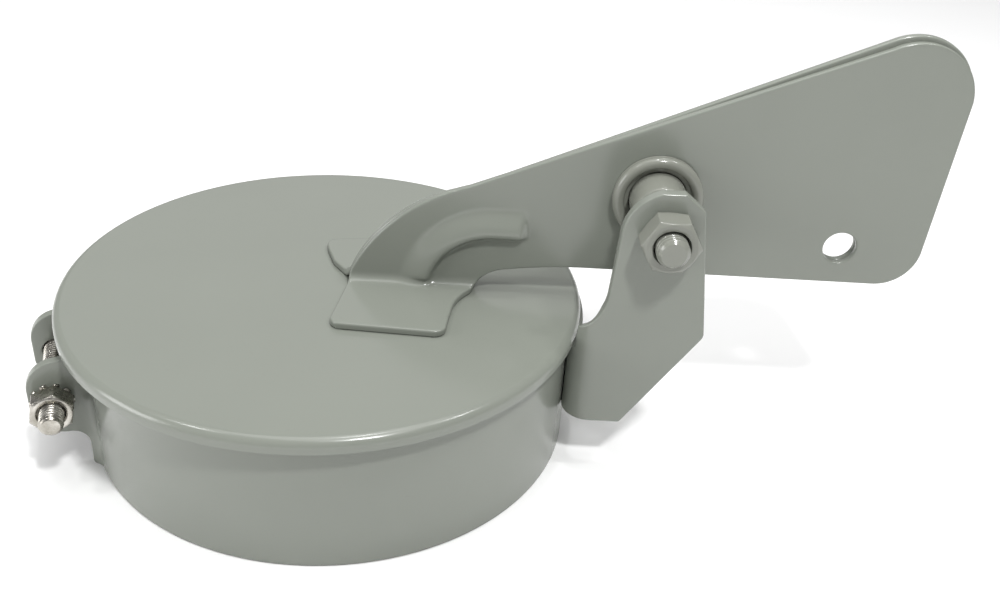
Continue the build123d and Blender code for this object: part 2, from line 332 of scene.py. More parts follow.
def ramp(nodes, links, source, low, high, low_value, high_value):
    """Grey ramp from low_value to high_value between two readings of the source socket."""
    made = nodes.new("ShaderNodeMapRange")
    made.inputs["From Min"].default_value = low
    made.inputs["From Max"].default_value = high
    made.inputs["To Min"].default_value = low_value
    made.inputs["To Max"].default_value = high_value
    links.new(source, made.inputs["Value"])
    return made.outputs["Result"]


def noise(nodes, links, where, scale, detail=3.0, roughness=0.5):
    made = node_in(nodes, "ShaderNodeTexNoise", Scale=scale, Detail=detail, Roughness=roughness)
    links.new(where, made.inputs["Vector"])
    return made.outputs["Fac"]


def mix_colour(nodes, links, factor, first, second):
    made = nodes.new("ShaderNodeMix")
    made.data_type = "RGBA"
    links.new(factor, made.inputs["Factor"])
    sockets = [s for s in made.inputs if s.type == "RGBA"]
    for socket, value in zip(sockets, (first, second)):
        if isinstance(value, tuple):
            socket.default_value = value
        else:
            links.new(value, socket)
    return next(s for s in made.outputs if s.type == "RGBA")


def bump(nodes, links, height, distance, strength, under=None):
    made = node_in(nodes, "ShaderNodeBump", Strength=strength, Distance=distance)
    links.new(height, made.inputs["Height"])
    if under is not None:
        links.new(under, made.inputs["Normal"])
    return made.outputs["Normal"]


def linear(red, green, blue):
    """A colour given as 0-255 screen values, as the shader wants it."""
    made = []
    for value in (red, green, blue):
        share = value / 255
        made.append(share / 12.92 if share <= 0.04045 else ((share + 0.055) / 1.055) ** 2.4)
    return (*made, 1.0)


def toned(colour, share):
    return tuple(share * c for c in colour[:3]) + (1.0,)


def new_material(name):
    material = bpy.data.materials.new(name)
    material.use_nodes = True
    nodes, links = material.node_tree.nodes, material.node_tree.links
    shader = nodes["Principled BSDF"]
    where = nodes.new("ShaderNodeTexCoord").outputs["Object"]
    return material, nodes, links, shader, where


def primer_paint(name, colour, edge_wear_and_highlight_colour, gloss_low, gloss_high):
    """Grey primer over steel: light orange peel, uneven gloss, specks, and convex edges painted paler, partly
    as rubbed paint and partly as a painted highlight.
    """
    material, nodes, links, shader, where = new_material(name)
    cloud = noise(nodes, links, where, PAINT_CLOUD, 3.0)
    fine = noise(nodes, links, where, PAINT_GLOSS, 2.0)
    tone = ramp(nodes, links, cloud, 0.3, 0.7, 0.0, 1.0)
    darker = toned(colour, PAINT_DARKER)
    paler = toned(colour, PAINT_PALER)
    base = mix_colour(nodes, links, tone, darker, paler)
    grit = noise(nodes, links, where, PAINT_SPECKS, 1.0)
    specks = ramp(nodes, links, grit, 0.70, 0.78, 0.0, SPECK_STRENGTH)
    base = mix_colour(nodes, links, specks, base, toned(colour, SPECK_TONE))
    # Convex edges, found by pointiness, are painted paler: partly rubbed paint, partly a painted highlight
    # along the edge.
    edge = nodes.new("ShaderNodeNewGeometry").outputs["Pointiness"]
    wear_and_highlight_mask = ramp(nodes, links, edge, 0.53, 0.62, 0.0, EDGE_WEAR_AND_HIGHLIGHT_STRENGTH)
    base = mix_colour(nodes, links, wear_and_highlight_mask, base, edge_wear_and_highlight_colour)
    links.new(base, shader.inputs["Base Color"])
    gloss = ramp(nodes, links, fine, 0.3, 0.7, gloss_low, gloss_high)
    links.new(gloss, shader.inputs["Roughness"])
    shader.inputs["IOR"].default_value = 1.5
    peel = bump(nodes, links, noise(nodes, links, where, PAINT_PEEL, 2.0), PEEL_DEPTH, PAINT_BUMP)
    wave = bump(nodes, links, noise(nodes, links, where, PAINT_WAVE, 2.0), WAVE_DEPTH, PAINT_BUMP, peel)
    links.new(wave, shader.inputs["Normal"])
    return material


def zinc_plate(name):
    """Bright zinc with a faint warm tint, brushed by handling."""
    material, nodes, links, shader, where = new_material(name)
    cloud = noise(nodes, links, where, ZINC_CLOUD, 4.0)
    tone = ramp(nodes, links, cloud, 0.3, 0.7, 0.0, 1.0)
    base = mix_colour(nodes, links, tone, linear(150, 146, 137), linear(204, 201, 194))
    links.new(base, shader.inputs["Base Color"])
    shader.inputs["Metallic"].default_value = 1.0
    gloss = ramp(nodes, links, noise(nodes, links, where, ZINC_GLOSS, 3.0), 0.3, 0.7, 0.18, 0.38)
    links.new(gloss, shader.inputs["Roughness"])
    grain = bump(nodes, links, noise(nodes, links, where, ZINC_GRAIN, 2.0), GRAIN_DEPTH, GRAIN_BUMP)
    links.new(grain, shader.inputs["Normal"])
    return material


PRIMER = primer_paint("primer_sheet_paint", linear(124, 128, 120), linear(146, 150, 141), 0.19, 0.23)
HARDWARE = primer_paint("primer_hardware_paint", linear(124, 126, 118), linear(150, 151, 143), 0.13, 0.16)
ZINC = zinc_plate("zinc_hardware_plate")


# ---------------------------------------------------------------- clamp band

# The strip is drawn with its split at +X, then turned to the split's own angle.
BAND_BEND = 3.0
LUG_OUTER_Y = 13.0
LUG_ROOT_X, LUG_SHOULDER_X, LUG_REACH = 66.6, 71.0, 79.4
LUG_LOW, LUG_HIGH = 11.5, 33.5
LUG_NOSE = 8.0
CLAMP_X, CLAMP_Z = 73.8, 21.8
CLAMP_END = 24.0
CLAMP_HOLE_RADIUS = 3.3
BAND_PITCH = 1.6
STRIP_CORNER, STRIP_CORNER_LEAN = 1.0, 0.3
LUG_STEP_LOW = 7.0
BAND_BEND_Y = LUG_OUTER_Y + BAND_BEND
BAND_BEND_REACH = BAND_RADIUS + BAND_BEND
BAND_BEND_ANGLE = math.asin(BAND_BEND_Y / BAND_BEND_REACH)
BAND_BEND_X = BAND_BEND_REACH * math.cos(BAND_BEND_ANGLE)
BAND_ARC = BAND_RADIUS * (math.pi - BAND_BEND_ANGLE)
BAND_BEND_ARC = BAND_BEND * (math.pi / 2 - BAND_BEND_ANGLE)
TO_SPLIT = Matrix.Rotation(SPLIT_ANGLE, 4, "Z")


def place_band(u, v, depth):
    """From the strip laid flat to the rolled band. u runs along its outer face, from opposite the split."""
    side = 1 if u >= 0 else -1
    s = abs(u)
    if s <= BAND_ARC:
        angle = math.pi - s / BAND_RADIUS
        radius = BAND_RADIUS - depth
        x, y = radius * math.cos(angle), radius * math.sin(angle)
    elif s <= BAND_ARC + BAND_BEND_ARC:
        angle = math.pi + BAND_BEND_ANGLE + (s - BAND_ARC) / BAND_BEND
        radius = BAND_BEND + depth
        x, y = BAND_BEND_X + radius * math.cos(angle), BAND_BEND_Y + radius * math.sin(angle)
    else:
        x, y = BAND_BEND_X + s - BAND_ARC - BAND_BEND_ARC, LUG_OUTER_Y - depth
    return TO_SPLIT @ Vector((x, side * y, v))


def lug_u(x):
    """Distance along the strip of a point of the lug, from its X."""
    if x >= BAND_BEND_X:
        return BAND_ARC + BAND_BEND_ARC + x - BAND_BEND_X
    angle = TURN - math.acos((x - BAND_BEND_X) / BAND_BEND)
    return BAND_ARC + BAND_BEND * (angle - math.pi - BAND_BEND_ANGLE)


def mirrored(half):
    """Closes a half outline with its own mirror image in u."""
    other = [(-u, v) for u, v in reversed(half)]
    return np.array([*half, *other])


def clamp_band():
    """The strip laid flat: its long edges, the step to each lug and the lug's rounded nose."""
    root, tip = lug_u(LUG_ROOT_X), lug_u(LUG_REACH)
    shoulder, nose = lug_u(LUG_SHOULDER_X), lug_u(LUG_REACH - LUG_NOSE)
    lean = ARC_LEAN * LUG_NOSE
    half = [(BAND_PITCH / 2, 0.0)]
    half += line_to((0.0, 0.0), (root - STRIP_CORNER, 0.0), BAND_PITCH)
    half += arc_through(half[-1], (root - STRIP_CORNER_LEAN, STRIP_CORNER_LEAN), (root, STRIP_CORNER), 0.4)
    half += line_to(half[-1], (root, LUG_STEP_LOW))
    half += arc_through(half[-1], (root + 1.2, 10.2), (shoulder, LUG_LOW), 0.7)
    half += arc_through(half[-1], (tip - lean, LUG_LOW + lean), (tip, LUG_LOW + LUG_NOSE), 0.7)
    half += line_to(half[-1], (tip, LUG_HIGH - LUG_NOSE))
    half += arc_through(half[-1], (tip - lean, LUG_HIGH - lean), (nose, LUG_HIGH), 0.7)
    half += line_to(half[-1], (root + 2.5, LUG_HIGH + 0.6))
    half += arc_through(half[-1], (root + 0.6, LUG_HIGH + 1.2), (root, LUG_HIGH + 2.4), 0.5)
    half += line_to(half[-1], (root, BAND_TOP - STRIP_CORNER), 0.8)
    top_middle = (root - STRIP_CORNER_LEAN, BAND_TOP - STRIP_CORNER_LEAN)
    half += arc_through(half[-1], top_middle, (root - STRIP_CORNER, BAND_TOP), 0.4)
    half += line_to(half[-1], (BAND_PITCH / 2, BAND_TOP), BAND_PITCH)
    hole_u = lug_u(CLAMP_X)
    holes = [(hole_u, CLAMP_Z, CLAMP_HOLE_RADIUS), (-hole_u, CLAMP_Z, CLAMP_HOLE_RADIUS)]
    sheet_piece(
        "clamp_band_strip", mirrored(half), holes, BAND_SHEET, place_band, spacing=1.7, edge=0.4,
        body="collar", node="clamp_band", slot="primer_sheet", material=PRIMER,
    )


# ---------------------------------------------------------------- bracket

WEB_INNER = BAND_RADIUS
EAR_OUTER_Y = -node_box("pivot_bracket")[0].y
BRACKET_BEND = 7.0
BRACKET_BEND_Y = EAR_OUTER_Y - BRACKET_BEND
BRACKET_REACH = WEB_INNER + BRACKET_BEND
BRACKET_ANGLE = math.asin(BRACKET_BEND_Y / BRACKET_REACH)
BRACKET_BEND_X = BRACKET_REACH * math.cos(BRACKET_ANGLE)
WEB_ARC = WEB_INNER * BRACKET_ANGLE
WEB_END_U = -WEB_INNER * math.radians(20)
WEB_TOP = 36.5
BRACKET_LOW = 15.3
WEB_CORNER = 2.0
WEB_CORNER_LEAN = 0.6
STEP_CORNER = 1.5
STEP_CORNER_LEAN = 0.44
STEP_SHARE = 0.49
STEP_TOP = 43.6
EAR_HOLE_RADIUS = 4.2
BRACKET_BEND_ARC = BRACKET_BEND * (math.pi / 2 + BRACKET_ANGLE)


def place_bracket(u, v, depth):
    """From the blank laid flat to the bracket. u runs along the face that turns into the ear's outside."""
    if u <= WEB_ARC:
        angle = u / WEB_INNER
        x, y = (WEB_INNER + depth) * math.cos(angle), (WEB_INNER + depth) * math.sin(angle)
    elif u <= WEB_ARC + BRACKET_BEND_ARC:
        angle = math.pi + BRACKET_ANGLE - (u - WEB_ARC) / BRACKET_BEND
        radius = BRACKET_BEND - depth
        x, y = BRACKET_BEND_X + radius * math.cos(angle), BRACKET_BEND_Y + radius * math.sin(angle)
    else:
        x, y = BRACKET_BEND_X + u - WEB_ARC - BRACKET_BEND_ARC, EAR_OUTER_Y - depth
    return Vector((x, -y, v))


def ear_u(x):
    """Distance along the bracket's blank of a point of the ear, from its X."""
    if x >= BRACKET_BEND_X:
        return WEB_ARC + BRACKET_BEND_ARC + x - BRACKET_BEND_X
    angle = math.acos((x - BRACKET_BEND_X) / BRACKET_BEND)
    return WEB_ARC + BRACKET_BEND * (math.pi + BRACKET_ANGLE - angle)


def pivot_bracket():
    """Web and ear as one blank: the lower edge, the ear's outline and the step down beside the lid."""
    cut_u = WEB_ARC + STEP_SHARE * BRACKET_BEND_ARC
    cut_x = place_bracket(cut_u, 0, 0).x
    ear = trace((cut_x, BRACKET_LOW), [
        (79.4, BRACKET_LOW, 1.5), (97.9, 43.7, 3.0), (92.8, 79.0, 1.2), (87.6, 83.3, 0.8), (82.0, 83.2),
        ((76.4, 79.6), (73.2, 71.0)), (72.2, 55.0), ((70.6, 48.9), (cut_x, STEP_TOP)),
    ])
    stop = max(i for i, p in enumerate(ear) if abs(p[0] - cut_x) < 1e-6 and p[1] > STEP_TOP - 0.01)
    corner_u, lean_u = WEB_END_U + WEB_CORNER, WEB_END_U + WEB_CORNER_LEAN
    loop = [(WEB_END_U, BRACKET_LOW + WEB_CORNER)]
    loop += arc_through(loop[-1], (lean_u, BRACKET_LOW + WEB_CORNER_LEAN), (corner_u, BRACKET_LOW), 0.5)
    loop += line_to(loop[-1], (cut_u, BRACKET_LOW))[:-1]
    loop += [(ear_u(x), z) for x, z in ear[:stop + 1]]
    loop += line_to(loop[-1], (cut_u, WEB_TOP + STEP_CORNER))
    step_middle = (cut_u - STEP_CORNER_LEAN, WEB_TOP + STEP_CORNER_LEAN)
    loop += arc_through(loop[-1], step_middle, (cut_u - STEP_CORNER, WEB_TOP), 0.5)
    loop += line_to(loop[-1], (corner_u, WEB_TOP))
    loop += arc_through(loop[-1], (lean_u, WEB_TOP - WEB_CORNER_LEAN), (WEB_END_U, WEB_TOP - WEB_CORNER), 0.5)
    loop += line_to(loop[-1], loop[0])[:-1]
    holes = [(ear_u(PIVOT.x), PIVOT.z, EAR_HOLE_RADIUS)]
    sheet_piece(
        "pivot_bracket_ear", np.array(loop), holes, BRACKET_SHEET, place_bracket, spacing=1.3, edge=0.45,
        body="collar", node="pivot_bracket", slot="primer_sheet", material=PRIMER,
    )


# ---------------------------------------------------------------- arm plates

FOOT_TOP = LID_TOP + ARM_SHEET
FOOT_BEND = 2.0
FOOT_BEND_Z = FOOT_TOP + FOOT_BEND
FOOT_BEND_Y = ARM_SHEET + FOOT_BEND
FOOT_ARC = FOOT_BEND * math.pi / 2
FOOT_FRONT, FOOT_BACK = 4.8, 37.4
BEAD_CENTRE = (43.0, 41.0)
BEAD_RADIUS = 21.0
BEAD_HALF_WIDTH = 4.3
BEAD_HEIGHT = 2.3
BEAD_CREST = 0.85
BEAD_END_X = 51.8
BEAD_END_SLOPE = 2.4
BEAD_START_SLOPE = 1.5
LIFTING_HOLE = (135.2, 60.5, 4.4)
ARM_HOLE_RADIUS = 7.6

# Where the two stampings differ: (x, z) points of the upper edge, and (x, y) points of the foot's front edge
RIGHT_PLATE = {
    "nape": (36.0, 72.2), "heel": (136.2, 114.8), "corner": (152.2, 114.2),
    "foot_front": ((1.8, 24.4), (3.3, 13.0)),
}
LEFT_PLATE = {
    "nape": (36.0, 71.0), "heel": (136.2, 116.3), "corner": (152.6, 114.9),
    "foot_front": ((-4.8, 20.0), (-3.0, 14.0), (-0.8, 8.0), (1.0, 5.4)),
}


def arm_place(side):
    """Carries the blank of the plate at the given side of the middle plane into place."""
    def place(u, v, depth):
        if v >= 0:
            y, z = ARM_SHEET - depth, FOOT_BEND_Z + v
        elif v >= -FOOT_ARC:
            angle = -v / FOOT_BEND
            radius = FOOT_BEND + depth
            y, z = FOOT_BEND_Y - radius * math.cos(angle), FOOT_BEND_Z - radius * math.sin(angle)
        else:
            y, z = FOOT_BEND_Y - (v + FOOT_ARC), FOOT_TOP - depth
        return Vector((u, side * y, z))
    return place


def bead_lift(u, v):
    """Height above the plate's face of the pressed bead, which runs down into the fold.

    It rises gently from its outer side and falls off sharply on its inner side.
    """
    x, z = u, v + FOOT_BEND_Z
    if z <= BEAD_CENTRE[1]:
        off = BEAD_CENTRE[0] - BEAD_RADIUS - x
    elif x <= BEAD_CENTRE[0]:
        off = math.hypot(x - BEAD_CENTRE[0], z - BEAD_CENTRE[1]) - BEAD_RADIUS
    else:
        off = z - BEAD_CENTRE[1] - BEAD_RADIUS
    if abs(off) >= BEAD_HALF_WIDTH or v <= -FOOT_ARC:
        return 0.0
    share = (BEAD_HALF_WIDTH - off) / (2 * BEAD_HALF_WIDTH)
    if share < BEAD_CREST:
        crown = math.sin(math.pi / 2 * share / BEAD_CREST) ** 1.5
    else:
        crown = math.cos(math.pi / 2 * (share - BEAD_CREST) / (1 - BEAD_CREST)) ** 0.8
    start = min(1.0, (v + FOOT_ARC) / (FOOT_ARC + BEAD_START_SLOPE))
    end = min(1.0, max(0.0, (BEAD_END_X - x) / BEAD_END_SLOPE))
    return BEAD_HEIGHT * crown * start * (2 - start) * math.sin(math.pi / 2 * end)


def arm_outline(nape, heel, corner, foot_front):
    """Blank of one stamping: the upright plate above the fold, the foot flange below it."""
    def up(x, z):
        return x, z - FOOT_BEND_Z

    def out(x, y):
        return x, FOOT_BEND_Y - y - FOOT_ARC
    outer_front, *front = foot_front
    return trace(up(FOOT_FRONT, FOOT_BEND_Z), [
        (up(17.2, 61.9), up(*nape)),
        up(*heel),
        (up(*corner), up(159.0, 102.5)),
        up(157.4, 61.0),
        (up(154.2, 53.2), up(146.5, 50.0)),
        up(69.0, 50.0),
        (up(57.0, 49.5), up(46.5, 48.2)),
        (up(42.7, 47.0), up(40.0, FOOT_BEND_Z)),
        out(FOOT_BACK, FOOT_BEND_Y),
        (out(34.9, 7.6), out(33.1, 12.9)),
        out(32.4, 17.9),
        (*out(31.6, 26.2), 3.0),
        (*out(*outer_front), 3.0),
        *[out(*point) for point in front],
    ])


def arm_plate(name, side, shape):
    outline = arm_outline(**shape)
    holes = [
        (PIVOT.x, PIVOT.z - FOOT_BEND_Z, ARM_HOLE_RADIUS),
        (LIFTING_HOLE[0], LIFTING_HOLE[1] - FOOT_BEND_Z, LIFTING_HOLE[2]),
    ]
    sheet_piece(
        f"arm_plate_{name}_pressing", outline, holes, ARM_SHEET, arm_place(side),
        spacing=0.85, edge=0.55, lift=bead_lift,
        body="flap", node=f"arm_plate_{name}", slot="primer_sheet", material=PRIMER,
    )


# ---------------------------------------------------------------- lid

LID_SHEET = 3.0
LIP_WIDTH = 1.6
LID_RIM_WIDTH = 6.0
LID_SEGMENTS = 288


def lid_disc():
    """Pressed disc. The flat top and underside are evenly filled, and the rim is skinned between them."""
    low = LID_LOW.z
    underside = LID_TOP - LID_SHEET
    lip_inner = LID_RADIUS - LIP_WIDTH
    flat = LID_RADIUS - LID_RIM_WIDTH
    section = rounded_section([
        (flat, underside, 0), (lip_inner, underside, 0.5), (lip_inner, low, 0.25), (LID_RADIUS, low, 0.25),
        (LID_RADIUS, LID_TOP, 2.3), (flat, LID_TOP, 0),
    ], 8)
    angles = np.arange(LID_SEGMENTS) * TURN / LID_SEGMENTS
    loop = np.stack([flat * np.cos(angles), flat * np.sin(angles)], -1)
    points, triangles = fill_loops([loop], 3.0)
    vertices = [(x, y, underside) for x, y in points] + [(x, y, LID_TOP) for x, y in points]
    count = len(points)
    faces = [(c, b, a) for a, b, c in triangles.tolist()]
    faces += [(a + count, b + count, c + count) for a, b, c in triangles.tolist()]
    rings = [list(range(LID_SEGMENTS))]
    for radius, height in section[1:-1]:
        start = len(vertices)
        vertices += [(radius * math.cos(a), radius * math.sin(a), height) for a in angles]
        rings.append(list(range(start, start + LID_SEGMENTS)))
    rings.append([i + count for i in range(LID_SEGMENTS)])
    for lower, upper in zip(rings, rings[1:]):
        for i in range(LID_SEGMENTS):
            j = (i + 1) % LID_SEGMENTS
            faces.append((lower[i], lower[j], upper[j], upper[i]))
    add_piece(
        "lid_pressing", placed(vertices, Matrix.Translation((LID_X, 0, 0))), faces,
        "flap", "lid_disc", "primer_sheet", PRIMER,
    )


# ---------------------------------------------------------------- turned parts and fasteners

# Radius of a hexagon's turned face, as a share of its width across flats
FACE_SHARE = 0.475
MOUTH_WIDTH, MOUTH_EDGE, SEAT_DEPTH = 0.55, 0.06, 0.6
THREAD_SHARE = 0.55
TURNS_STEP = 9
END_GAP = 0.05


def hex_loop(across_flats, rounding=0.35):
    corner = across_flats / math.sqrt(3)
    points = [(corner * math.cos(k * math.pi / 3), corner * math.sin(k * math.pi / 3)) for k in range(7)]
    middle = ((points[0][0] + points[1][0]) / 2, (points[0][1] + points[1][1]) / 2)
    return trace(middle, [(*points[k], rounding) for k in (1, 2, 3, 4, 5, 6)])


def hex_rings(across_flats, height, chamfer_low=True):
    """Stations of a hexagon whose corners are turned off, from height 0 up."""
    loop = hex_loop(across_flats)
    lengths = np.linalg.norm(loop, axis=1)
    face_radius = FACE_SHARE * across_flats
    corner = across_flats / math.sqrt(3)
    fall = (corner - face_radius) / math.sqrt(3)
    shares = [0, 0.08, 0.2, 0.35, 0.5, 0.65, 0.8, 0.95, 1.1]
    heights = [share * fall for share in shares]
    heights += [height / 2 - 0.3, height / 2 + 0.3, *[height - h for h in reversed(heights)]]
    rings = []
    for h in heights:
        limit = min(corner, face_radius + (height - h) * math.sqrt(3))
        if chamfer_low:
            limit = min(limit, face_radius + h * math.sqrt(3))
        scaled = loop * np.minimum(1.0, limit / lengths)[:, None]
        rings.append([(x, y, h) for x, y in scaled])
    return rings


def skin(rings, closed=False):
    """Skin through rings of points, capped at both ends or closed on itself."""
    vertices = [v for ring in rings for v in ring]
    size = len(rings[0])
    faces = []
    levels = list(range(len(rings)))
    pairs = list(zip(levels, levels[1:])) + ([(levels[-1], 0)] if closed else [])
    for low, high in pairs:
        for i in range(size):
            j = (i + 1) % size
            faces.append((low * size + i, low * size + j, high * size + j, high * size + i))
    if not closed:
        faces.append(tuple(reversed(range(size))))
        faces.append(tuple(range((len(rings) - 1) * size, len(rings) * size)))
    return vertices, faces


def circle_ring(like, radius, height):
    lengths = np.linalg.norm(like, axis=1)[:, None]
    return [(x, y, height) for x, y in like / lengths * radius]


def nut_mesh(across_flats, height, bore, mouth_depth=SEAT_DEPTH):
    """Nut along +Z from 0, with countersunk mouths."""
    outer = hex_rings(across_flats, height)
    like = np.array([(x, y) for x, y, _ in outer[0]])
    mouth = bore + MOUTH_WIDTH
    face_radius = FACE_SHARE * across_flats
    flat_radii = (face_radius - 0.25, (face_radius + mouth) / 2, mouth + 0.1)
    top = [circle_ring(like, r, height) for r in flat_radii]
    top += [circle_ring(like, mouth, height - MOUTH_EDGE), circle_ring(like, bore, height - mouth_depth)]
    bottom = [circle_ring(like, bore, SEAT_DEPTH), circle_ring(like, mouth, MOUTH_EDGE)]
    bottom += [circle_ring(like, r, 0.0) for r in reversed(flat_radii)]
    return skin([*outer, *top, *bottom], closed=True)


def thread_shape(share, fill):
    """Depth of a thread across one pitch, 0 at the crest and 1 at the root. fill rounds the root up."""
    away = abs((share % 1.0) - 0.5) * 2
    rise = min(1.0, max(0.0, (away - 0.12) / 0.76))
    smooth = rise * rise * (3 - 2 * rise)
    return (1 - smooth) * (1 - fill)


def threaded_rod(radius, pitch, low, high, chamfer, fill, plain_to=None, segments=72):
    """Rod along +Z with its thread cut as a helix and its far end chamfered, as stations for a lathe."""
    depth = THREAD_SHARE * pitch
    start = low if plain_to is None else plain_to
    heights = [low] if start == low else [low, start - END_GAP]
    heights += list(np.arange(start, high - END_GAP, pitch / TURNS_STEP)) + [high - END_GAP]
    stations = []
    for h in heights:
        def at(angle, h=h):
            cut = depth * thread_shape(h / pitch - angle / TURN, fill)
            if h < start:
                cut = 0.0
            ease = radius - chamfer + (high - h)
            return min(radius - cut, ease) if h > high - chamfer else radius - cut, h
        stations.append(at)
    dome = radius - chamfer
    stations += [(dome - 0.05, high - 0.02), (dome - 0.25, high), (dome * 0.6, high), (dome * 0.2, high)]
    return lathe(stations, segments)


def joined(*meshes):
    vertices, faces = [], []
    for these, their_faces in meshes:
        offset = len(vertices)
        vertices += list(these)
        faces += [tuple(i + offset for i in face) for face in their_faces]
    return vertices, faces


def ring_mesh(corners, segments=96, easing=6):
    """Closed ring from a section of (radius, height, rounding) corners."""
    return lathe(rounded_section(corners, easing), segments, closed=True)


# Metric fasteners: thread radius, pitch, width across flats, height of head, height of nut, bore of nut
M8_RADIUS, M8_PITCH, M8_FLATS, M8_HEAD, M8_NUT, M8_NUT_BORE = 4.0, 1.25, 13.0, 5.3, 6.7, 4.12
M6_RADIUS, M6_PITCH, M6_FLATS, M6_HEAD, M6_NUT, M6_NUT_BORE = 3.0, 1.0, 10.0, 4.0, 5.2, 3.1
PIVOT_NUT_TURN = math.radians(-1)
CLAMP_HEAD_TURN, CLAMP_NUT_TURN = math.radians(10), math.radians(20)
BUSHING_LOW, BUSHING_HIGH = -19.1, 5.6
BUSHING_BORE, BUSHING_RADIUS = 4.08, 7.5
BUSHING_STEP_Y = -13.0
BUSHING_STEP_RADIUS = 6.3
WASHER_SHEET = 1.2
WASHER_BORE, WASHER_RADIUS = 4.1, 8.0
FAR_WASHER_Y = BUSHING_HIGH + 0.2
BOLT_HEAD_Y = FAR_WASHER_Y + WASHER_SHEET
EAR_INNER_Y = EAR_OUTER_Y - BRACKET_SHEET


def pivot_bolt():
    """Bolt with its head beyond the arm, its plain shank through the bushing and its thread in the nut."""
    end = -node_box("pivot_bolt")[0].y
    rod, rod_faces = threaded_rod(
        M8_RADIUS, M8_PITCH, -BOLT_HEAD_Y, end, chamfer=1.0, fill=0.25, plain_to=EAR_OUTER_Y + 1.0,
    )
    rod = placed(rod, along_y(PIVOT.x, 0, PIVOT.z, -1))
    head, head_faces = skin(hex_rings(M8_FLATS, M8_HEAD, chamfer_low=False))
    head = placed(head, along_y(PIVOT.x, BOLT_HEAD_Y, PIVOT.z, 1))
    vertices, faces = joined((rod, rod_faces), (head, head_faces))
    add_piece("pivot_bolt_m8", vertices, faces, "collar", "pivot_bolt", "primer_hardware", HARDWARE)


def pivot_nut():
    vertices, faces = nut_mesh(M8_FLATS, M8_NUT, M8_NUT_BORE, mouth_depth=1.6)
    place = along_y(PIVOT.x, -EAR_OUTER_Y, PIVOT.z, -1) @ Matrix.Rotation(PIVOT_NUT_TURN, 4, "Z")
    add_piece(
        "pivot_nut_m8", placed(vertices, place), faces, "collar", "pivot_nut", "primer_hardware", HARDWARE,
    )


def pivot_washers():
    corners = [
        (WASHER_BORE, 0.0, 0.15), (WASHER_RADIUS, 0.0, 0.3),
        (WASHER_RADIUS, WASHER_SHEET, 0.3), (WASHER_BORE, WASHER_SHEET, 0.15),
    ]
    vertices, faces = ring_mesh(corners)
    for low_y, name in ((-EAR_INNER_Y, "right"), (FAR_WASHER_Y, "left")):
        place = along_y(PIVOT.x, low_y, PIVOT.z, 1)
        add_piece(
            f"pivot_washer_{name}_disc", placed(vertices, place), faces,
            "collar", f"pivot_washer_{name}", "primer_hardware", HARDWARE,
        )


def pivot_bushing():
    corners = [
        (BUSHING_BORE, BUSHING_LOW, 0.3), (BUSHING_STEP_RADIUS, BUSHING_LOW, 0.4),
        (BUSHING_STEP_RADIUS, BUSHING_STEP_Y, 0.3), (BUSHING_RADIUS, BUSHING_STEP_Y, 0.9),
        (BUSHING_RADIUS, BUSHING_HIGH, 1.2), (BUSHING_BORE, BUSHING_HIGH, 0.3),
    ]
    vertices, faces = ring_mesh(corners, 96, 9)
    place = along_y(PIVOT.x, 0, PIVOT.z, 1)
    add_piece(
        "pivot_bushing_tube", placed(vertices, place), faces,
        "flap", "pivot_bushing", "primer_hardware", HARDWARE,
    )


HUB_TUBE, HUB_RADIUS, HUB_BASE = 1.5, 10.3, 1.2


def hub_rings():
    """Rolled rim round the bushing, with the paint lying in the corner where it meets the plate."""
    tube, rim, base, bore = HUB_TUBE, HUB_RADIUS, HUB_BASE, ARM_HOLE_RADIUS
    section = [(bore, 0.02), (rim + 1.45, 0.02), (rim + 1.42, 0.3)]
    section += [
        (rim + tube * math.cos(a), tube + tube * math.sin(a))
        for a in np.radians(np.arange(-34, 186, 11))
    ]
    section += [(rim - tube - 0.1, base + 0.15), (rim - tube - 0.35, base)]
    section += [(bore + 0.25, base), (bore, base - 0.25)]
    vertices, faces = lathe(section, 120, closed=True)
    for side, name in ((-1, "right"), (1, "left")):
        place = along_y(PIVOT.x, side * ARM_SHEET, PIVOT.z, side)
        add_piece(
            f"hub_ring_{name}_rim", placed(vertices, place), faces,
            "flap", f"hub_ring_{name}", "primer_hardware", HARDWARE,
        )


def clamp_fastener():
    """Bolt, toothed lock washer and nut through the two lugs."""
    outward = TO_SPLIT @ along_y(CLAMP_X, 0, CLAMP_Z, 1)
    rod = threaded_rod(M6_RADIUS, M6_PITCH, -LUG_OUTER_Y, CLAMP_END, chamfer=0.8, fill=0.05)
    rod = placed(rod[0], outward), rod[1]
    head_turn = Matrix.Rotation(CLAMP_HEAD_TURN, 4, "Z")
    head_place = TO_SPLIT @ along_y(CLAMP_X, -LUG_OUTER_Y, CLAMP_Z, -1) @ head_turn
    head = skin(hex_rings(M6_FLATS, M6_HEAD, chamfer_low=False))
    head = placed(head[0], head_place), head[1]
    vertices, faces = joined(rod, head)
    add_piece("clamp_bolt_m6", vertices, faces, "collar", "clamp_bolt", "zinc_hardware", ZINC)
    washer_place = outward @ Matrix.Translation((0, 0, LUG_OUTER_Y))
    vertices, faces = lock_washer()
    add_piece(
        "clamp_lock_washer_teeth", placed(vertices, washer_place), faces,
        "collar", "clamp_lock_washer", "zinc_hardware", ZINC,
    )
    nut_turn = Matrix.Rotation(CLAMP_NUT_TURN, 4, "Z")
    nut_place = outward @ Matrix.Translation((0, 0, LUG_OUTER_Y + LOCK_WASHER_HEIGHT)) @ nut_turn
    vertices, faces = nut_mesh(M6_FLATS, M6_NUT, M6_NUT_BORE)
    add_piece(
        "clamp_nut_m6", placed(vertices, nut_place), faces, "collar", "clamp_nut", "zinc_hardware", ZINC,
    )


LOCK_WASHER_HEIGHT = 0.8
LOCK_SHEET = 0.5
LOCK_BORE, LOCK_RADIUS = 3.1, 4.45
LOCK_TEETH = 10
TOOTH_STEPS = 5
TOOTH_ROOT, TOOTH_LENGTH = 4.2, 1.2
TOOTH_HALF_WIDTH, TOOTH_TAPER = 0.95, 0.2
TOOTH_TWIST = math.radians(24)


